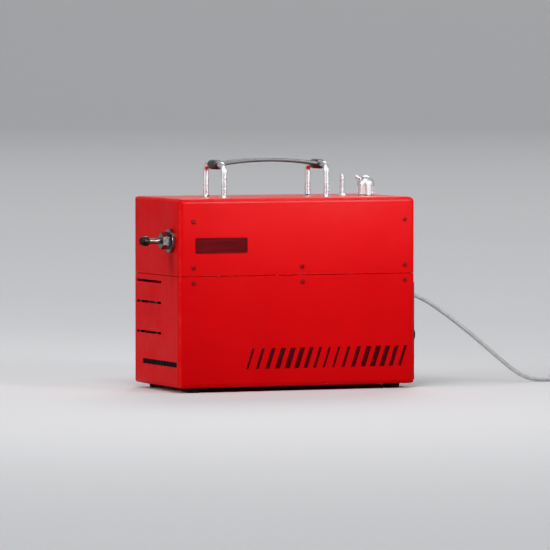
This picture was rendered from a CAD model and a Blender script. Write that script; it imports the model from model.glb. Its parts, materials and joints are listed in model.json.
"""Looks of the fog machine: cord, grip, plug, materials, light and camera round the CAD frame.

All lengths are metres in the row frame: +Z up, the nozzle blows to -X, and the long side that the
camera sees faces -Y.
"""

import json
import math

import bmesh
import bpy
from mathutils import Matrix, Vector


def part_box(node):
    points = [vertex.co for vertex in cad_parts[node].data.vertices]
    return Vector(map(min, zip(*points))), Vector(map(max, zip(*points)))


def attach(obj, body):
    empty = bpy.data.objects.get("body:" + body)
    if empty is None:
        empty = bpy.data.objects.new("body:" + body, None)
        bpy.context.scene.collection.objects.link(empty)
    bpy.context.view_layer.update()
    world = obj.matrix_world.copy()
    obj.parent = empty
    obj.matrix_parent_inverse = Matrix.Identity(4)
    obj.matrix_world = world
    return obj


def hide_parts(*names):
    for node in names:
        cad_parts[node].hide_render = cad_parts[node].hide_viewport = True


MM = 0.001
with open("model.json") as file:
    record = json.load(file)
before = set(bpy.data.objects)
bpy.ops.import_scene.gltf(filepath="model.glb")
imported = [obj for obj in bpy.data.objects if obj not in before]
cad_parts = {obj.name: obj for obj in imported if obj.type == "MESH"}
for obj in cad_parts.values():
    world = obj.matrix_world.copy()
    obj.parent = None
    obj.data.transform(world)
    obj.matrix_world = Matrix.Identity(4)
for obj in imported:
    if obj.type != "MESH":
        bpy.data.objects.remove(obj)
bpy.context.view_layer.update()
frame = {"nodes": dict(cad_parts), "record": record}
nodes = frame["nodes"]


def middle(node):
    """Centre of a CAD node's box."""
    low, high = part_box(node)
    return (low + high) / 2


CASE_LOW, CASE_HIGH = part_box("lower_case")
CASE_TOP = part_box("upper_case")[1]
CASE_X = (CASE_LOW.x + CASE_HIGH.x) / 2
SIDE_Y = CASE_LOW.y
PANEL_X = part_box("rear_panel")[1].x
NOZZLE = middle("nozzle_flange")

# ---------------------------------------------------------------- camera

VIEW_AZIMUTH = math.radians(-22.5)
VIEW_ELEVATION = math.radians(2.4)
VIEW_DISTANCE = 9.8
VIEW_TARGET = Vector((0.0214, 0.0, 0.1996))
LENS_MM = 360.5
SENSOR_MM = 36
CAMERA_REACH = 500


def add_camera():
    """Looks at the machine along the photograph's viewing direction, from its distance."""
    data = bpy.data.cameras.new("camera")
    data.lens = LENS_MM
    data.sensor_width = SENSOR_MM
    data.clip_end = CAMERA_REACH
    camera = bpy.data.objects.new("camera", data)
    bpy.context.scene.collection.objects.link(camera)
    flat = math.cos(VIEW_ELEVATION)
    away = Vector((math.sin(VIEW_AZIMUTH) * flat, -math.cos(VIEW_AZIMUTH) * flat,
                   math.sin(VIEW_ELEVATION)))
    camera.location = VIEW_TARGET + VIEW_DISTANCE * away
    camera.rotation_euler = away.to_track_quat("Z", "Y").to_euler()
    bpy.context.scene.camera = camera


add_camera()

# ---------------------------------------------------------------- mesh helpers

WELD_DISTANCE = 1e-6


def mesh_object(name, points, faces, smooth_angle=40):
    """An object from points and faces, shaded smooth below the given angle."""
    mesh = bpy.data.meshes.new(name)
    mesh.from_pydata([tuple(p) for p in points], [], faces)
    mesh.validate()
    build = bmesh.new()
    build.from_mesh(mesh)
    bmesh.ops.remove_doubles(build, verts=build.verts, dist=WELD_DISTANCE)
    bmesh.ops.recalc_face_normals(build, faces=build.faces)
    build.to_mesh(mesh)
    build.free()
    mesh.shade_smooth()
    mesh.set_sharp_from_angle(angle=math.radians(smooth_angle))
    obj = bpy.data.objects.new(name, mesh)
    bpy.context.scene.collection.objects.link(obj)
    return obj


def lofted(rings, closed_ends=True):
    """Points and faces of a skin through equal rings of points."""
    count = len(rings[0])
    points = [p for ring in rings for p in ring]
    faces = []
    for i in range(len(rings) - 1):
        for k in range(count):
            after = (k + 1) % count
            here, above = i * count, (i + 1) * count
            faces.append((here + k, above + k, above + after, here + after))
    if closed_ends:
        faces.append(tuple(range(count)))
        faces.append(tuple(reversed(range((len(rings) - 1) * count, len(rings) * count))))
    return points, faces


def turned(profile, start, axis, sides=48, radius_at=None):
    """Rings of a turned shape: profile is (distance along the axis, radius).

    radius_at(along, radius, angle) may shape it round the axis.
    """
    axis = Vector(axis).normalized()
    across = axis.orthogonal().normalized()
    other = axis.cross(across)
    rings = []
    for along, radius in profile:
        ring = []
        for k in range(sides):
            angle = 2 * math.pi * k / sides
            r = radius_at(along, radius, angle) if radius_at else radius
            side = across * math.cos(angle) + other * math.sin(angle)
            ring.append(Vector(start) + axis * along + side * r)
        rings.append(ring)
    return rings


def in_metres(profile):
    """A profile given in millimetres, in metres."""
    return [(along * MM, radius * MM) for along, radius in profile]


def joined(*parts):
    """Several (points, faces) sets as one."""
    points, faces = [], []
    for part_points, part_faces in parts:
        base = len(points)
        points += part_points
        faces += [tuple(base + i for i in face) for face in part_faces]
    return points, faces


def superellipse(width, height, power, count):
    """Points round a rounded rectangle, in 2D."""
    ring = []
    for k in range(count):
        angle = 2 * math.pi * k / count
        c, s = math.cos(angle), math.sin(angle)
        x = math.copysign(abs(c) ** (2 / power), c) * width / 2
        y = math.copysign(abs(s) ** (2 / power), s) * height / 2
        ring.append((x, y))
    return ring


def eased(t):
    """0 to 1 with soft ends."""
    t = min(max(t, 0.0), 1.0)
    return t * t * (3 - 2 * t)


# ---------------------------------------------------------------- mains cord

CORD_D = 7.5 * MM
CORD_R = CORD_D / 2
COIL_TURNS = 5
COIL_STEPS = 48
COIL_MEAN_R = 42 * MM
COIL_CENTRE = Vector((CASE_X + 0.602, 0.005, 0.0))
COIL_BASE = 1.2 * MM
# Where each turn lies in the bundle, in cord diameters: out from the middle, and up from the
# bottom layer. The change to the next place takes the last part of a turn.
TURN_PLACES = [(1, 0), (0, 0), (-1, 0), (-0.5, 1), (0.5, 1)]
CHANGE_SHARE = 0.2

# The routes from the gland to the coil and from the coil to the plug, in millimetres from the
# middle of the case
CORD_ROUTE = [
    (253, 0, 162), (270, 0, 160), (300, -1, 146), (340, -4, 119), (385, -9, 84), (430, -15, 46),
    (462, -20, 20), (484, -25, 8), (504, -30, 4.2), (530, -36, 4), (566, -43, 4.6),
    (602, -44.5, 4.95),
]
TAIL_ROUTE = [(602, -40.75, 12.5), (622, -41, 12.5), (640, -42, 15), (656, -43, 17)]
ROUTE_STEPS = 3
TAIL_STEPS = 2


def in_row(point):
    """A point in millimetres from the case's middle, in the row frame in metres."""
    return Vector((CASE_X + point[0] * MM, point[1] * MM, point[2] * MM))


def smooth_line(route, steps):
    """A smooth line through every point of a route."""
    last = len(route) - 1
    line = []
    for i in range(last):
        p0, p1, p2, p3 = route[max(i - 1, 0)], route[i], route[i + 1], route[min(i + 2, last)]
        for k in range(steps):
            t = k / steps
            line.append(0.5 * (2 * p1 + (p2 - p0) * t + (2 * p0 - 5 * p1 + 4 * p2 - p3) * t * t
                               + (3 * p1 - p0 - 3 * p2 + p3) * t * t * t))
    line.append(route[last])
    return line


def coil_line():
    """The turns of the coil, from the outside of the bottom layer to the top layer."""
    line = []
    for step in range(1, COIL_TURNS * COIL_STEPS):
        turn, share = divmod(step / COIL_STEPS, 1)
        here = TURN_PLACES[int(turn)]
        after = TURN_PLACES[min(int(turn) + 1, COIL_TURNS - 1)]
        out = eased((share - 1 + CHANGE_SHARE) / CHANGE_SHARE)
        up = eased((share - 1 + 2 * CHANGE_SHARE) / CHANGE_SHARE)
        radius = COIL_MEAN_R + CORD_D * (here[0] + (after[0] - here[0]) * out)
        height = COIL_BASE + CORD_R + CORD_D * (here[1] + (after[1] - here[1]) * up)
        angle = -math.pi / 2 + 2 * math.pi * share
        offset = Vector((radius * math.cos(angle), radius * math.sin(angle), height))
        line.append(COIL_CENTRE + offset)
    return line


def add_cord():
    """One curve from the gland through the coil to the plug."""
    first = smooth_line([in_row(p) for p in CORD_ROUTE], ROUTE_STEPS)
    last = smooth_line([in_row(p) for p in TAIL_ROUTE], TAIL_STEPS)
    line = first + coil_line() + last
    data = bpy.data.curves.new("mains_lead", "CURVE")
    data.dimensions = "3D"
    data.bevel_depth = 1.0
    data.bevel_resolution = 6
    data.use_fill_caps = True
    spline = data.splines.new("POLY")
    spline.points.add(len(line) - 1)
    for point, place in zip(spline.points, line):
        point.co = (*place, 1)
        point.radius = CORD_R
    obj = bpy.data.objects.new("mains_lead", data)
    bpy.context.scene.collection.objects.link(obj)
    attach(obj, "machine")
    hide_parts("mains_cord", "mains_cord_coil")
    return obj


lead = add_cord()

# ---------------------------------------------------------------- pieces on the cord

PLUG_LOW, PLUG_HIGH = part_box("mains_plug")
PLUG_AXIS = Vector((1, 0, 0))
PIN_GAP = 19 * MM
PIN_FOOT = 47.9 * MM


def add_plug():
    """Moulded plug: ribbed sleeve, waisted body with a stepped face, and two sleeved pins."""
    centre = (PLUG_LOW + PLUG_HIGH) / 2
    start = Vector((PLUG_LOW.x, centre.y, centre.z))
    body_r = (PLUG_HIGH.z - PLUG_LOW.z) / 2 - 0.2 * MM
    sleeve = [(0.0, 4.4), (0.6, 5.4)]
    for i in range(5):
        base = 1.5 + 3.1 * i
        r = 5.6 + 0.9 * i
        sleeve += [(base, r), (base + 0.4, r + 0.5), (base + 1.7, r + 0.7), (base + 2.0, r - 0.3),
                   (base + 2.8, r - 0.3)]
    shoulder = [(17.6, 10.2), (18.4, 12.0), (20.0, 14.2), (22.4, 15.6), (25.4, 16.2), (30.0, 15.8),
                (34.5, 15.9), (39.0, 16.5), (44.0, 16.8), (46.6, 16.8), (47.4, 16.5), (47.8, 15.6),
                (48.0, 14.8)]
    profile = [(x, min(r, body_r)) for x, r in in_metres(sleeve + shoulder)]

    def flattened(along, radius, angle):
        """Finger flats on both sides of the body."""
        share = eased((along - 19 * MM) / (6 * MM)) * eased((45 * MM - along) / (5 * MM))
        return radius * (1 - 0.14 * share * math.cos(angle) ** 4)

    body = mesh_object("plug_body", *lofted(turned(profile, start, PLUG_AXIS, 64, flattened)), 32)
    bare, covered = [], []
    pin_profile = in_metres([(0.0, 2.4), (17.6, 2.4), (18.6, 2.1), (19.0, 1.3)])
    collar_profile = in_metres([(0.0, 2.55), (8.0, 2.55), (8.3, 2.42)])
    for y in (-PIN_GAP / 2, PIN_GAP / 2):
        foot = start + PLUG_AXIS * PIN_FOOT + Vector((0, y, 0))
        bare.append(lofted(turned(pin_profile, foot, PLUG_AXIS, 24)))
        covered.append(lofted(turned(collar_profile, foot, PLUG_AXIS, 24)))
    pins = mesh_object("plug_pins", *joined(*bare))
    collars = mesh_object("plug_pin_sleeves", *joined(*covered))
    for piece in (body, pins, collars):
        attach(piece, "machine")
    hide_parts("mains_plug")
    return body, pins, collars


def add_gland():
    """Cord gland: hexagon base, fluted dome nut and a tapered bend protector with ring slots."""
    low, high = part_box("cord_gland")
    start = Vector((PANEL_X, (low.y + high.y) / 2, (low.z + high.z) / 2))
    outer_l = high.x - PANEL_X
    axis = Vector((1, 0, 0))

    def hexagon(along, radius, angle):
        """Six flats, as on a nut."""
        return radius * math.cos(math.pi / 6) / math.cos((angle % (math.pi / 3)) - math.pi / 6)

    def fluted(along, radius, angle):
        """Grip flutes round the nut."""
        return radius - 0.45 * MM * (0.5 + 0.5 * math.cos(16 * angle)) ** 3

    base = [(0.0, 10.6), (0.3, 11.8), (4.6, 11.8), (5.2, 11.0), (5.4, 8.0)]
    nut = [(5.3, 8.0), (5.4, 9.4), (6.0, 10.0), (10.6, 10.0), (11.4, 9.6), (12.2, 8.4), (12.4, 7.4)]
    taper = [(11.8, 7.2)]
    tip = outer_l / MM
    rings = 5
    for i in range(rings):
        x = 12.6 + (tip - 13.2) * i / rings
        r = 7.6 - 2.3 * i / rings
        taper += [(x, r), (x + 1.5, r - 0.15), (x + 1.6, r - 0.9), (x + 2.3, r - 1.0),
                  (x + 2.4, r - 0.3)]
    taper += [(tip - 0.4, 5.0), (tip - 0.05, 4.6), (tip, 3.9)]
    inside = [(-6.0, 11.0), (-2.1, 11.0), (-2.05, 7.9), (0.0, 7.9)]
    shapes = [
        lofted(turned(in_metres(base), start, axis, 48, hexagon)),
        lofted(turned(in_metres(nut), start, axis, 96, fluted)),
        lofted(turned(in_metres(taper), start, axis, 48)),
        lofted(turned(in_metres(inside), start, axis, 48, hexagon)),
    ]
    obj = mesh_object("gland", *joined(*shapes), 34)
    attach(obj, "machine")
    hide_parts("cord_gland")
    return obj


def add_tie():
    """Hook and loop strap round the coil's bundle, with its free end lying along the top."""
    low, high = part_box("cord_tie")
    centre = (low + high) / 2
    width = high.x - low.x
    size_y = high.y - low.y
    size_z = high.z - low.z
    skin = 1.0 * MM
    count = 64
    outer = superellipse(size_y, size_z, 5, count)
    inner = superellipse(size_y - 2 * skin, size_z - 2 * skin, 5, count)
    edge = 0.25 * MM
    rings = []
    half_w = width / 2
    for x, grow in ((-half_w, -edge), (edge - half_w, 0), (half_w - edge, 0), (half_w, -edge)):
        y_scale, z_scale = 1 + grow / size_y, 1 + grow / size_z
        rings.append([centre + Vector((x, p[0] * y_scale, p[1] * z_scale)) for p in outer])
    for x in (half_w, -half_w):
        rings.append([centre + Vector((x, p[0], p[1])) for p in inner])
    points, faces = lofted(rings, closed_ends=False)
    last = len(rings) - 1
    for k in range(count):
        after = (k + 1) % count
        faces.append((last * count + k, k, after, last * count + after))
    band = mesh_object("tie_band", points, faces)
    tail = []
    tail_l = 13 * MM
    tail_t = 0.9 * MM
    tail_steps = 8
    top = high.z - 0.4 * MM
    for i in range(tail_steps + 1):
        t = i / tail_steps
        y = centre.y - tail_l / 2 + tail_l * t
        lift = 0.25 * MM * math.sin(math.pi * t)
        half = half_w - 0.8 * MM - (1.5 * MM * eased((t - 0.8) / 0.2))
        left, right = centre.x - half, centre.x + half
        tail.append([Vector((left, y, top - tail_t)), Vector((right, y, top - tail_t)),
                     Vector((right, y, top + lift)), Vector((left, y, top + lift))])
    flap = mesh_object("tie_flap", *lofted(tail), 30)
    for piece in (band, flap):
        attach(piece, "machine")
    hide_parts("cord_tie")
    return band, flap


plug, plug_pins, plug_collars = add_plug()
gland = add_gland()
tie_band, tie_flap = add_tie()

# ---------------------------------------------------------------- handle grip

GRIP_LOW, GRIP_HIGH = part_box("handle_grip")
HOOP_XS = [middle("handle_hoop_front").x, middle("handle_hoop_rear").x]
HOOP_LOW, HOOP_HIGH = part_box("handle_hoop_front")
HOOP_ROD_R = (HOOP_HIGH.x - HOOP_LOW.x) / 2
HOOP_TOP_Z = HOOP_HIGH.z - HOOP_ROD_R
GRIP_T = 7 * MM
GRIP_EYE_R = 8.5 * MM
GRIP_STEPS = 96
GRIP_RIBS = 22


def add_grip():
    """Bowed strap grip: shallow channels along its edges, ribs under it, an eye at each end."""
    width = GRIP_HIGH.y - GRIP_LOW.y
    half_span = (HOOP_XS[1] - HOOP_XS[0]) / 2
    mid_x = sum(HOOP_XS) / 2
    rise = GRIP_HIGH.z - GRIP_T / 2 - HOOP_TOP_Z
    bow_r = (half_span ** 2 + rise ** 2) / (2 * rise)
    half_turn = math.asin(half_span / bow_r)
    section = superellipse(1, 1, 6, 56)
    rings = []
    for i in range(GRIP_STEPS + 1):
        t = -1 + 2 * i / GRIP_STEPS
        angle = t * half_turn * 0.985
        outward = Vector((math.sin(angle), 0, math.cos(angle)))
        centre = Vector((mid_x, 0, HOOP_TOP_Z + rise - bow_r)) + outward * bow_r
        waist = 1 - 0.09 * (1 - t * t)
        wave = 0.5 + 0.5 * math.cos(math.pi * GRIP_RIBS * t)
        rib = 0.45 * MM * wave * eased((0.8 - abs(t)) / 0.1)
        ring = []
        for a, b in section:
            y = a * width * waist
            z = b * GRIP_T
            if b > 0.3:
                z -= 0.5 * MM * eased(1 - abs(abs(a) - 0.38) / 0.035)
            if b < -0.3:
                z += rib * eased((0.42 - abs(a)) / 0.1)
            ring.append(centre + Vector((0, y, 0)) + outward * z)
        rings.append(ring)
    strap = mesh_object("grip_strap", *lofted(rings), 35)
    bore = HOOP_ROD_R + 0.06 * MM
    edge = 1.2 * MM
    groove = 0.4 * MM
    middle_y = width / 2
    profile = [(0, bore), (0, GRIP_EYE_R - edge), (0.35 * edge, GRIP_EYE_R - 0.35 * edge),
               (edge, GRIP_EYE_R), (middle_y - 1.2 * MM, GRIP_EYE_R),
               (middle_y - 0.8 * MM, GRIP_EYE_R - groove),
               (middle_y + 0.8 * MM, GRIP_EYE_R - groove),
               (middle_y + 1.2 * MM, GRIP_EYE_R), (width - edge, GRIP_EYE_R),
               (width - 0.35 * edge, GRIP_EYE_R - 0.35 * edge), (width, GRIP_EYE_R - edge),
               (width, bore), (0, bore)]
    eyes = []
    for x in HOOP_XS:
        start = Vector((x, -width / 2, HOOP_TOP_Z))
        eyes.append(lofted(turned(profile, start, (0, 1, 0), 48), closed_ends=False))
    ends = mesh_object("grip_eyes", *joined(*eyes), 35)
    for piece in (strap, ends):
        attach(piece, "machine")
    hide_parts("handle_grip")
    return strap, ends


grip_strap, grip_eyes = add_grip()

# ---------------------------------------------------------------- rear panel print

PRINT_T = 0.12 * MM
LINE_W = 0.6 * MM
# The frames round the groups of controls, in millimetres: lowest and highest Y, then Z
PRINT_FRAMES = [(-84, -36, 73, 160), (40, 84, 78, 160), (-22, 22, 73, 136)]
DIAL_TICKS = 11
DIAL_SWEEP = 270


def flat_bar(y0, y1, z0, z1, x):
    """A thin printed bar on the rear panel."""
    points = [Vector((px, py, pz)) for px in (x, x + PRINT_T) for py in (y0, y1) for pz in (z0, z1)]
    faces = [(0, 1, 3, 2), (4, 6, 7, 5), (0, 4, 5, 1), (2, 3, 7, 6), (0, 2, 6, 4), (1, 5, 7, 3)]
    return points, faces


def radial_bar(centre, inner, outer, half_w, angle):
    """A thin printed tick that points away from a centre on the rear panel."""
    out = Vector((0, math.sin(angle), math.cos(angle)))
    side = Vector((0, math.cos(angle), -math.sin(angle)))
    base = [centre + out * inner - side * half_w, centre + out * inner + side * half_w,
            centre + out * outer + side * half_w, centre + out * outer - side * half_w]
    top = [p + Vector((PRINT_T, 0, 0)) for p in base]
    faces = [(0, 1, 2, 3), (7, 6, 5, 4), (0, 4, 5, 1), (1, 5, 6, 2), (2, 6, 7, 3), (3, 7, 4, 0)]
    return base + top, faces


def outline(y0, y1, z0, z1):
    """A thin printed frame on the rear panel."""
    return [flat_bar(y0, y1, z0, z0 + LINE_W, PANEL_X), flat_bar(y0, y1, z1 - LINE_W, z1, PANEL_X),
            flat_bar(y0, y0 + LINE_W, z0, z1, PANEL_X), flat_bar(y1 - LINE_W, y1, z0, z1, PANEL_X)]


def add_panel_print():
    """Dial ticks round the level knob, frames round the groups of controls, and the "on" bar."""
    knob = middle("level_knob")
    face = Vector((PANEL_X, knob.y, knob.z))
    parts = []
    for i in range(DIAL_TICKS):
        angle = math.radians(-DIAL_SWEEP / 2 + DIAL_SWEEP * i / (DIAL_TICKS - 1))
        outer, half_w = (17.5, 0.45) if i % 5 == 0 else (16, 0.3)
        parts.append(radial_bar(face, 14 * MM, outer * MM, half_w * MM, angle))
    for sides in PRINT_FRAMES:
        parts += outline(*(side * MM for side in sides))
    switch = middle("power_switch")
    bar = Vector((PANEL_X, switch.y, switch.z - 13 * MM))
    parts.append(radial_bar(bar, -6 * MM, -2.5 * MM, 0.4 * MM, 0))
    obj = mesh_object("panel_print", *joined(*parts))
    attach(obj, "machine")
    return obj


panel_print = add_panel_print()

# ---------------------------------------------------------------- materials


class Finish:
    """A node material under construction: a Principled shader in object coordinates, in metres."""

    def __init__(self, name, color, roughness, **sockets):
        self.material = bpy.data.materials.new(name)
        self.material.use_nodes = True
        self.tree = self.material.node_tree
        self.shader = self.tree.nodes["Principled BSDF"]
        self.set("Base Color", (*color, 1))
        self.set("Roughness", roughness)
        for key, value in sockets.items():
            self.set(key.replace("_", " "), value)
        self.coords = self.add("ShaderNodeTexCoord").outputs["Object"]

    def add(self, kind, **values):
        """A node with its plain properties and input sockets set."""
        node = self.tree.nodes.new(kind)
        for key, value in values.items():
            if hasattr(node, key) and key not in node.inputs:
                setattr(node, key, value)
            else:
                node.inputs[key].default_value = value
        return node

    def link(self, output, node, socket):
        """Joins an output to a node's input."""
        self.tree.links.new(output, node.inputs[socket])

    def set(self, socket, value):
        """Sets a socket of the shader."""
        self.shader.inputs[socket].default_value = value

    def scaled(self, scale):
        """Object coordinates stretched per axis."""
        node = self.add("ShaderNodeMapping", Scale=scale)
        self.link(self.coords, node, "Vector")
        return node.outputs["Vector"]

    def noise(self, scale, detail=3.0, roughness=0.55, stretch=(1, 1, 1)):
        """Noise from 0 to 1: scale is how many blotches fit in a metre."""
        node = self.add("ShaderNodeTexNoise", Scale=scale, Detail=detail, Roughness=roughness)
        self.link(self.scaled(stretch), node, "Vector")
        return node.outputs["Fac"]

    def cells(self, scale, feature="F1", stretch=(1, 1, 1)):
        """Cell pattern: scale is how many cells fit in a metre."""
        node = self.add("ShaderNodeTexVoronoi", feature=feature, Scale=scale)
        self.link(self.scaled(stretch), node, "Vector")
        return node.outputs["Distance"]

    def ranged(self, value, low, high, to_low=0.0, to_high=1.0):
        """Maps low..high of a value to to_low..to_high, clamped."""
        node = self.add("ShaderNodeMapRange")
        self.link(value, node, "Value")
        node.inputs["From Min"].default_value = low
        node.inputs["From Max"].default_value = high
        node.inputs["To Min"].default_value = to_low
        node.inputs["To Max"].default_value = to_high
        return node.outputs["Result"]

    def math(self, operation, a, b):
        """One math step on two values."""
        node = self.add("ShaderNodeMath", operation=operation)
        for i, value in enumerate((a, b)):
            if isinstance(value, (int, float)):
                node.inputs[i].default_value = value
            else:
                self.tree.links.new(value, node.inputs[i])
        return node.outputs[0]

    def axis(self, name):
        """One of the object coordinates X, Y or Z."""
        node = self.add("ShaderNodeSeparateXYZ")
        self.link(self.coords, node, "Vector")
        return node.outputs[name]

    def blend(self, factor, first, second):
        """Mixes two colours, each a tuple or an output."""
        node = self.add("ShaderNodeMix", data_type="RGBA")
        self.tree.links.new(factor, node.inputs["Factor"])
        for key, value in ((6, first), (7, second)):
            if isinstance(value, tuple):
                node.inputs[key].default_value = (*value, 1)
            else:
                self.tree.links.new(value, node.inputs[key])
        return node.outputs[2]

    def color(self, output):
        """Drives the base colour."""
        self.link(output, self.shader, "Base Color")

    def rough(self, output):
        """Drives the roughness."""
        self.link(output, self.shader, "Roughness")

    def bump(self, height, depth, strength=1.0):
        """Adds relief: depth in metres. Later calls lie on top of earlier ones."""
        node = self.add("ShaderNodeBump", Strength=strength, Distance=depth)
        self.link(height, node, "Height")
        normal = self.shader.inputs["Normal"]
        if normal.is_linked:
            self.link(normal.links[0].from_socket, node, "Normal")
        self.link(node.outputs["Normal"], self.shader, "Normal")


EDGE_R = 1.5 * MM
STAIN_HALF_W = 13 * MM


def edge_wear(f, low, high, reach):
    """1 on the edges of a box between two corners, fading to 0 at reach from them."""
    centre = (low + high) / 2
    half = (high - low) / 2
    depths = []
    for i, name in enumerate("XYZ"):
        offset = f.math("ABSOLUTE", f.math("SUBTRACT", f.axis(name), centre[i]), 0)
        depths.append(f.math("SUBTRACT", half[i], offset))
    total = f.math("ADD", f.math("ADD", depths[0], depths[1]), depths[2])
    deepest = f.math("MAXIMUM", f.math("MAXIMUM", depths[0], depths[1]), depths[2])
    nearest = f.math("MINIMUM", f.math("MINIMUM", depths[0], depths[1]), depths[2])
    second = f.math("SUBTRACT", f.math("SUBTRACT", total, deepest), nearest)
    return f.ranged(second, EDGE_R, reach, 1, 0)


def red_paint():
    """Satin powder coat: orange peel, scuffed edges, a few chips, and residue below the nozzle."""
    f = Finish("red_paint", (0.48, 0.007, 0.008), 0.42, Specular_IOR_Level=0.18)
    cloud = f.ranged(f.noise(7, 4), 0.3, 0.7)
    base = f.blend(cloud, (0.45, 0.006, 0.007), (0.50, 0.008, 0.009))
    across = f.math("DIVIDE", f.math("SUBTRACT", f.axis("Y"), NOZZLE.y), STAIN_HALF_W)
    below = f.math("SUBTRACT", NOZZLE.z, f.axis("Z"))
    ahead = f.ranged(f.axis("X"), CASE_LOW.x + 1 * MM, CASE_LOW.x + 2 * MM, 1, 0)
    spread = f.ranged(f.math("ABSOLUTE", across, 0), 0.3, 1.5, 1, 0)
    start, end = f.ranged(below, 10 * MM, 30 * MM), f.ranged(below, 40 * MM, 90 * MM, 1, 0)
    run = f.math("MULTIPLY", start, end)
    streaks = f.ranged(f.noise(150, 3, 0.6, (1, 1, 0.12)), 0.35, 0.65, 0.35, 1)
    stain = f.math("MULTIPLY", f.math("MULTIPLY", spread, run), f.math("MULTIPLY", ahead, streaks))
    edge = edge_wear(f, Vector(CASE_LOW), Vector(CASE_TOP), 6 * MM)
    scuff = f.math("MULTIPLY", edge, f.ranged(f.noise(60, 5, 0.7), 0.42, 0.7))
    chips = f.math("MULTIPLY", edge, f.ranged(f.noise(210, 4, 0.6), 0.66, 0.68))
    scuffed = f.blend(f.math("MULTIPLY", scuff, 0.45), base, (0.56, 0.08, 0.07))
    chipped = f.blend(chips, scuffed, (0.20, 0.19, 0.19))
    f.color(f.blend(f.math("MULTIPLY", stain, 0.65), chipped, (0.10, 0.006, 0.008)))
    smear = f.ranged(f.noise(18, 5, 0.65), 0.35, 0.75, 0.34, 0.48)
    f.rough(f.math("ADD", smear, f.math("MULTIPLY", f.math("MAXIMUM", stain, scuff), 0.15)))
    f.bump(f.noise(420, 2, 0.5), 0.06 * MM, 0.5)
    f.bump(f.noise(2600, 2, 0.5), 0.012 * MM, 0.35)
    f.bump(f.math("SUBTRACT", 1, chips), 0.08 * MM, 0.6)
    return f.material


def chrome_metal():
    """Polished plate with faint wipe marks."""
    f = Finish("chrome_metal", (0.86, 0.87, 0.88), 0.09, Metallic=1.0)
    wipe = f.noise(90, 5, 0.7, (1, 1, 0.25))
    f.rough(f.ranged(wipe, 0.35, 0.8, 0.06, 0.2))
    f.color(f.blend(f.ranged(f.noise(25, 3), 0.4, 0.7), (0.88, 0.89, 0.90), (0.80, 0.81, 0.83)))
    f.bump(f.noise(1500, 2), 0.004 * MM, 0.3)
    return f.material


def satin_nickel():
    """Bright satin plate with fine marks round a vertical axis."""
    f = Finish("satin_nickel", (0.80, 0.80, 0.81), 0.27, Metallic=1.0)
    f.color(f.blend(f.ranged(f.noise(70, 3), 0.35, 0.7), (0.83, 0.83, 0.84), (0.74, 0.74, 0.75)))
    f.rough(f.ranged(f.noise(45, 3), 0.3, 0.7, 0.24, 0.31))
    f.bump(f.noise(60, 2, 0.5, (1, 1, 40)), 0.003 * MM, 0.15)
    return f.material


def screw_steel():
    """Burnished steel button heads. The paint on those in the sides is worn."""
    f = Finish("screw_steel", (0.15, 0.13, 0.13), 0.4, Specular_IOR_Level=0.3)
    side = f.ranged(f.math("ABSOLUTE", f.axis("Y"), 0), -SIDE_Y - 3 * MM, -SIDE_Y - 1 * MM)
    dull = f.ranged(f.noise(500, 4, 0.6), 0.35, 0.7)
    steel = f.blend(dull, (0.17, 0.15, 0.15), (0.09, 0.07, 0.07))
    painted = f.blend(dull, (0.15, 0.008, 0.009), (0.24, 0.010, 0.011))
    f.color(f.blend(side, steel, painted))
    f.link(f.ranged(side, 0, 1, 0.9, 0), f.shader, "Metallic")
    f.rough(f.ranged(dull, 0, 1, 0.34, 0.55))
    f.bump(f.noise(1200, 3), 0.02 * MM, 0.4)
    return f.material


def dull_zinc():
    """Old dull zinc plate behind the seam of the case."""
    f = Finish("dull_zinc", (0.14, 0.14, 0.14), 0.6, Metallic=0.8)
    f.color(f.blend(f.noise(90, 4), (0.10, 0.10, 0.10), (0.18, 0.18, 0.18)))
    f.rough(f.ranged(f.noise(200, 4), 0.3, 0.7, 0.5, 0.7))
    f.bump(f.noise(700, 3), 0.03 * MM, 0.4)
    return f.material


def zinc_steel():
    """Bright zinc plate with a soft spangle."""
    f = Finish("zinc_steel", (0.60, 0.61, 0.62), 0.34, Metallic=1.0)
    spangle = f.cells(160)
    f.color(f.blend(f.ranged(spangle, 0.1, 0.8), (0.64, 0.65, 0.66), (0.50, 0.51, 0.53)))
    f.rough(f.ranged(f.noise(320, 4), 0.3, 0.7, 0.27, 0.45))
    f.bump(f.noise(900, 3), 0.02 * MM, 0.3)
    return f.material


def machined_steel():
    """Darkened turned steel: fine rings round the nozzle's axis and heat tint towards its tip."""
    f = Finish("machined_steel", (0.22, 0.21, 0.21), 0.3, Metallic=1.0)
    rings = f.noise(60, 2, 0.5, (60, 1, 1))
    heat = f.ranged(f.axis("X"), CASE_LOW.x - 40 * MM, CASE_LOW.x - 12 * MM, 1, 0)
    tint = f.blend(f.ranged(f.noise(240, 4), 0.3, 0.7), (0.20, 0.13, 0.07), (0.10, 0.10, 0.14))
    f.color(f.blend(f.math("MULTIPLY", heat, 0.8), (0.26, 0.25, 0.25), tint))
    f.rough(f.ranged(rings, 0.3, 0.7, 0.22, 0.42))
    f.bump(rings, 0.02 * MM, 0.4)
    return f.material


def sooted_steel():
    """Blackened nozzle tip with dry residue."""
    f = Finish("sooted_steel", (0.03, 0.028, 0.026), 0.5, Metallic=0.7)
    dust = f.ranged(f.noise(380, 5, 0.7), 0.42, 0.72)
    f.color(f.blend(dust, (0.018, 0.017, 0.017), (0.10, 0.085, 0.07)))
    f.rough(f.ranged(dust, 0, 1, 0.38, 0.72))
    f.bump(f.noise(700, 4), 0.05 * MM, 0.5)
    return f.material


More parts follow.
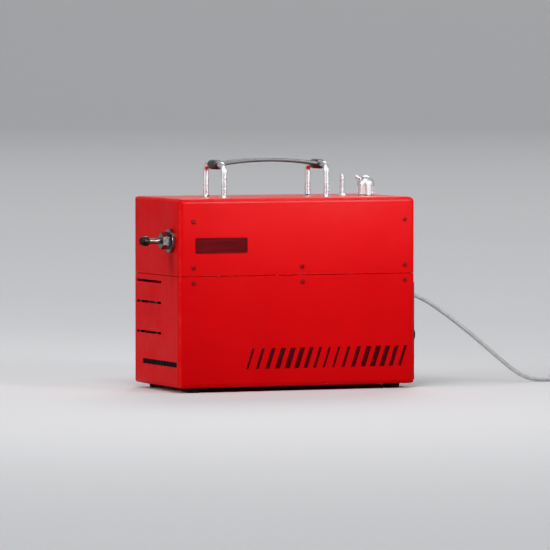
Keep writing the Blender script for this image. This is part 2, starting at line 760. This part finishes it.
def dark_steel():
    """Black powder coat with a fine wrinkle."""
    f = Finish("dark_steel", (0.022, 0.022, 0.024), 0.5)
    wrinkle = f.cells(900, "SMOOTH_F1")
    f.color(f.blend(f.noise(14, 4), (0.017, 0.017, 0.019), (0.030, 0.030, 0.032)))
    f.rough(f.ranged(f.noise(40, 4), 0.3, 0.7, 0.42, 0.6))
    f.bump(wrinkle, 0.06 * MM, 0.6)
    return f.material


def black_plastic():
    """Spark-eroded moulding."""
    f = Finish("black_plastic", (0.022, 0.022, 0.023), 0.46)
    f.color(f.blend(f.noise(30, 3), (0.018, 0.018, 0.019), (0.028, 0.028, 0.030)))
    f.rough(f.ranged(f.noise(60, 3), 0.3, 0.7, 0.4, 0.55))
    f.bump(f.noise(1800, 3), 0.03 * MM, 0.5)
    return f.material


def badge_face():
    """Dark red plate, brushed along X."""
    f = Finish("badge_face", (0.10, 0.007, 0.008), 0.36, Specular_IOR_Level=0.2)
    brushed = f.noise(300, 3, 0.6, (0.05, 1, 1))
    f.color(f.blend(f.ranged(brushed, 0.3, 0.7), (0.070, 0.005, 0.006), (0.110, 0.008, 0.009)))
    f.rough(f.ranged(brushed, 0.3, 0.7, 0.28, 0.45))
    f.bump(brushed, 0.01 * MM, 0.4)
    return f.material


def black_print():
    """Screen print: dense dark film with a little of the red paint showing through."""
    f = Finish("black_print", (0.050, 0.006, 0.008), 0.45, Specular_IOR_Level=0.18)
    thin = f.ranged(f.noise(500, 3), 0.35, 0.75)
    f.color(f.blend(thin, (0.032, 0.004, 0.005), (0.100, 0.006, 0.008)))
    f.rough(f.ranged(f.noise(80, 3), 0.3, 0.7, 0.4, 0.55))
    f.bump(f.noise(420, 2, 0.5), 0.05 * MM, 0.4)
    return f.material


def white_print():
    """Pale grey screen print for the rear panel."""
    f = Finish("white_print", (0.62, 0.62, 0.60), 0.5)
    f.color(f.blend(f.ranged(f.noise(600, 3), 0.3, 0.7), (0.55, 0.55, 0.53), (0.66, 0.66, 0.64)))
    f.bump(f.noise(900, 2), 0.02 * MM, 0.3)
    return f.material


def soft_rubber():
    """Matt rubber with a fine pebble and pale dust in its hollows."""
    f = Finish("soft_rubber", (0.030, 0.030, 0.031), 0.7)
    pebble = f.cells(1100)
    dust = f.ranged(f.noise(45, 5, 0.7), 0.5, 0.8)
    f.color(f.blend(dust, (0.024, 0.024, 0.025), (0.060, 0.058, 0.055)))
    f.rough(f.ranged(pebble, 0.0, 0.7, 0.62, 0.82))
    f.bump(pebble, 0.08 * MM, 0.5)
    return f.material


def grip_rubber():
    """Semi-gloss moulded grip: its back picks up a soft sheen."""
    f = Finish("grip_rubber", (0.045, 0.045, 0.048), 0.42)
    worn = f.ranged(f.noise(28, 4, 0.6), 0.35, 0.75)
    f.color(f.blend(worn, (0.036, 0.036, 0.038), (0.062, 0.062, 0.064)))
    f.rough(f.ranged(worn, 0, 1, 0.36, 0.5))
    f.bump(f.cells(700), 0.05 * MM, 0.5)
    return f.material


def cast_alloy():
    """Sand-cast aluminium."""
    f = Finish("cast_alloy", (0.55, 0.55, 0.55), 0.5, Metallic=0.95)
    f.color(f.blend(f.noise(60, 4), (0.48, 0.48, 0.48), (0.62, 0.62, 0.61)))
    f.rough(f.ranged(f.noise(200, 4), 0.3, 0.7, 0.42, 0.62))
    f.bump(f.noise(650, 4), 0.12 * MM, 0.6)
    return f.material


def yellow_brass():
    """Turned brass with a light tarnish."""
    f = Finish("yellow_brass", (0.62, 0.44, 0.17), 0.28, Metallic=1.0)
    f.color(f.blend(f.ranged(f.noise(110, 4), 0.35, 0.7), (0.68, 0.50, 0.20), (0.42, 0.28, 0.11)))
    f.rough(f.ranged(f.noise(300, 3), 0.3, 0.7, 0.2, 0.4))
    f.bump(f.noise(60, 2, 0.5, (50, 1, 1)), 0.02 * MM, 0.4)
    return f.material


def mineral_wool():
    """Felted fibre wrap."""
    f = Finish("mineral_wool", (0.62, 0.56, 0.42), 0.95)
    fibre = f.noise(240, 6, 0.75, (0.3, 1, 1))
    f.color(f.blend(f.ranged(fibre, 0.3, 0.7), (0.50, 0.44, 0.32), (0.74, 0.69, 0.56)))
    f.bump(fibre, 0.8 * MM, 0.8)
    return f.material


def tank_plastic():
    """Milky blow-moulded tank."""
    f = Finish("tank_plastic", (0.78, 0.76, 0.68), 0.38)
    f.color(f.blend(f.ranged(f.noise(9, 3), 0.3, 0.7), (0.74, 0.72, 0.63), (0.84, 0.82, 0.75)))
    f.rough(f.ranged(f.noise(70, 3), 0.3, 0.7, 0.32, 0.46))
    f.bump(f.noise(130, 3), 0.15 * MM, 0.4)
    return f.material


def hose_rubber():
    """Braided silicone hose."""
    f = Finish("hose_rubber", (0.55, 0.53, 0.47), 0.55)
    braid = f.cells(420, "F1", (1, 1, 0.6))
    f.color(f.blend(f.ranged(braid, 0.1, 0.7), (0.60, 0.58, 0.52), (0.42, 0.40, 0.35)))
    f.bump(braid, 0.2 * MM, 0.6)
    return f.material


def board_green():
    """Circuit board: solder mask with track relief."""
    f = Finish("board_green", (0.02, 0.14, 0.05), 0.32)
    tracks = f.ranged(f.cells(260, "DISTANCE_TO_EDGE"), 0.03, 0.06)
    f.color(f.blend(tracks, (0.05, 0.22, 0.09), (0.012, 0.11, 0.04)))
    f.rough(f.ranged(tracks, 0, 1, 0.42, 0.28))
    f.bump(tracks, 0.05 * MM, 0.6)
    return f.material


def winding():
    """Varnished copper winding."""
    f = Finish("winding", (0.34, 0.13, 0.05), 0.32, Metallic=0.7)
    wires = f.noise(40, 1, 0.4, (38, 1, 1))
    f.color(f.blend(f.ranged(wires, 0.35, 0.65), (0.20, 0.07, 0.03), (0.46, 0.20, 0.08)))
    f.rough(f.ranged(wires, 0.3, 0.7, 0.25, 0.42))
    f.bump(wires, 0.2 * MM, 0.7)
    return f.material


def moulded(name, dark, light, roughness):
    """Glossy coloured plastic with a slight shade drift and fine texture."""
    f = Finish(name, dark, roughness)
    f.color(f.blend(f.ranged(f.noise(90, 3), 0.3, 0.7), dark, light))
    f.rough(f.ranged(f.noise(200, 3), 0.3, 0.7, roughness - 0.06, roughness + 0.08))
    f.bump(f.noise(1600, 2), 0.015 * MM, 0.4)
    return f.material


def fuse_glass():
    """Clear tube of the fuse."""
    f = Finish("fuse_glass", (0.90, 0.93, 0.93), 0.05, Transmission_Weight=0.7, IOR=1.5)
    f.rough(f.ranged(f.noise(300, 3), 0.3, 0.7, 0.03, 0.12))
    f.bump(f.noise(500, 2), 0.01 * MM, 0.3)
    return f.material


def cord_sheath():
    """Light grey cord: soft sheen, scuffs and a faint lengthwise drift of shade."""
    f = Finish("cord_sheath", (0.48, 0.48, 0.49), 0.42)
    scuff = f.ranged(f.noise(130, 5, 0.7), 0.45, 0.75)
    f.color(f.blend(scuff, (0.51, 0.51, 0.52), (0.38, 0.38, 0.385)))
    f.rough(f.ranged(scuff, 0, 1, 0.36, 0.6))
    f.bump(f.noise(900, 3), 0.03 * MM, 0.5)
    return f.material


def woven_strap():
    """Hook and loop strap: short pile."""
    f = Finish("woven_strap", (0.020, 0.020, 0.022), 0.85, Sheen_Weight=0.3)
    pile = f.cells(1500)
    f.color(f.blend(f.ranged(pile, 0.1, 0.7), (0.030, 0.030, 0.032), (0.012, 0.012, 0.013)))
    f.bump(pile, 0.25 * MM, 0.8)
    return f.material


FINISHES = {
    "red_paint": red_paint(),
    "chrome_metal": chrome_metal(),
    "zinc_steel": zinc_steel(),
    "dark_steel": dark_steel(),
    "black_plastic": black_plastic(),
    "black_print": black_print(),
    "soft_rubber": soft_rubber(),
    "cast_alloy": cast_alloy(),
    "yellow_brass": yellow_brass(),
    "mineral_wool": mineral_wool(),
    "tank_plastic": tank_plastic(),
    "hose_rubber": hose_rubber(),
    "board_green": board_green(),
    "winding": winding(),
    "button_green": moulded("button_green", (0.02, 0.30, 0.07), (0.03, 0.38, 0.10), 0.26),
    "rocker_red": moulded("rocker_red", (0.50, 0.02, 0.02), (0.60, 0.03, 0.03), 0.24),
    "fuse_glass": fuse_glass(),
    "lamp_lens": moulded("lamp_lens", (0.75, 0.12, 0.03), (0.85, 0.22, 0.06), 0.15),
    "cord_sheath": cord_sheath(),
}
# CAD nodes that need more than their slot's usual finish
SPECIAL = {
    "nozzle_flange": machined_steel(),
    "nozzle_tip": sooted_steel(),
    "badge_plate": badge_face(),
    "filler_cap": satin_nickel(),
    "case_screws": screw_steel(),
    "joining_brackets": dull_zinc(),
}
for name in ("nozzle_nut", "nozzle_barrel"):
    SPECIAL[name] = SPECIAL["nozzle_flange"]
for name in ("handle_hoop_front", "handle_hoop_rear"):
    SPECIAL[name] = SPECIAL["filler_cap"]


def paint(obj, material):
    """Gives an object one material."""
    obj.data.materials.clear()
    obj.data.materials.append(material)


for part in frame["record"]["subparts"]:
    name = part["node"]
    paint(nodes[name], SPECIAL.get(name, FINISHES[part["material_slot"]]))

SMOOTH_ANGLE = math.radians(30)
for node in nodes.values():
    node.data.shade_smooth()
    node.data.set_sharp_from_angle(angle=SMOOTH_ANGLE)

grip_finish = grip_rubber()
strap_finish = woven_strap()
paint(lead, FINISHES["cord_sheath"])
paint(plug, FINISHES["soft_rubber"])
paint(plug_collars, FINISHES["black_plastic"])
paint(plug_pins, FINISHES["chrome_metal"])
paint(gland, FINISHES["black_plastic"])
paint(tie_band, strap_finish)
paint(tie_flap, strap_finish)
paint(grip_strap, grip_finish)
paint(grip_eyes, grip_finish)
paint(panel_print, white_print())

# ---------------------------------------------------------------- floor and light

FLOOR_DROP = 0.2 * MM
FLOOR_FLAT_R = 30.0
FLOOR_BEND_R = 60.0
FLOOR_SIDES = 128
BEND_DEGREES = 28
LIGHT_AIM = (0.0, 0.0, 0.2)


def add_floor():
    """Plain pale floor that darkens and curves slowly up to a low rim, far from the machine."""
    rings = []
    for degrees in range(BEND_DEGREES + 1):
        bend = math.radians(degrees)
        r = FLOOR_FLAT_R + FLOOR_BEND_R * math.sin(bend)
        z = FLOOR_BEND_R * (1 - math.cos(bend)) - FLOOR_DROP
        turns = [2 * math.pi * k / FLOOR_SIDES for k in range(FLOOR_SIDES)]
        rings.append([Vector((r * math.cos(turn), r * math.sin(turn), z)) for turn in turns])
    points, faces = lofted(rings, closed_ends=False)
    faces.append(tuple(range(FLOOR_SIDES)))
    floor = mesh_object("floor", points, faces)
    f = Finish("floor", (0.60, 0.60, 0.61), 0.85, Specular_IOR_Level=0.2)
    near = f.blend(f.noise(0.8, 3), (0.62, 0.62, 0.63), (0.64, 0.64, 0.65))
    distance = f.add("ShaderNodeVectorMath", operation="LENGTH")
    f.link(f.coords, distance, 0)
    f.color(f.blend(f.ranged(distance.outputs["Value"], 3, 30), near, (0.40, 0.40, 0.41)))
    f.bump(f.noise(220, 3), 0.1 * MM, 0.2)
    paint(floor, f.material)


def add_lamp(name, kind, place, aim, size, power, spread=180):
    """A soft lamp that points at aim.

    size is an area lamp's side, or a sun's angle in degrees; spread narrows an area lamp's beam.
    """
    data = bpy.data.lights.new(name, kind)
    if kind == "SUN":
        data.angle = math.radians(size)
    else:
        data.shape = "SQUARE"
        data.size = size
        data.spread = math.radians(spread)
    data.energy = power
    lamp = bpy.data.objects.new(name, data)
    lamp.location = place
    lamp.rotation_euler = (Vector(place) - Vector(aim)).to_track_quat("Z", "Y").to_euler()
    bpy.context.scene.collection.objects.link(lamp)


def add_light():
    """Four soft suns, an even surround, and two boxes that fade down the long side."""
    world = bpy.data.worlds.new("studio")
    world.use_nodes = True
    background = world.node_tree.nodes["Background"]
    background.inputs["Color"].default_value = (0.95, 0.97, 1.0, 1)
    background.inputs["Strength"].default_value = 0.45
    bpy.context.scene.world = world
    add_lamp("key", "SUN", (-3.6, -4.0, 5.0), LIGHT_AIM, 30, 0.35)
    add_lamp("fill", "SUN", (4.0, -3.0, 1.6), LIGHT_AIM, 36, 0.35)
    add_lamp("rim", "SUN", (2.0, 4.0, 4.0), LIGHT_AIM, 30, 0.9)
    add_lamp("left", "SUN", (-5.0, -1.2, 1.5), LIGHT_AIM, 36, 2.1)
    add_lamp("soft_box", "AREA", (-0.4, -0.95, 1.9), (0.0, -0.1, 0.34), 0.8, 15)
    add_lamp("top_box", "AREA", (0.55, -1.3, 0.85), (0.06, 0.0, 0.62), 0.5, 3.0, 50)


bpy.context.scene.view_settings.view_transform = "Khronos PBR Neutral"
add_floor()
add_light()
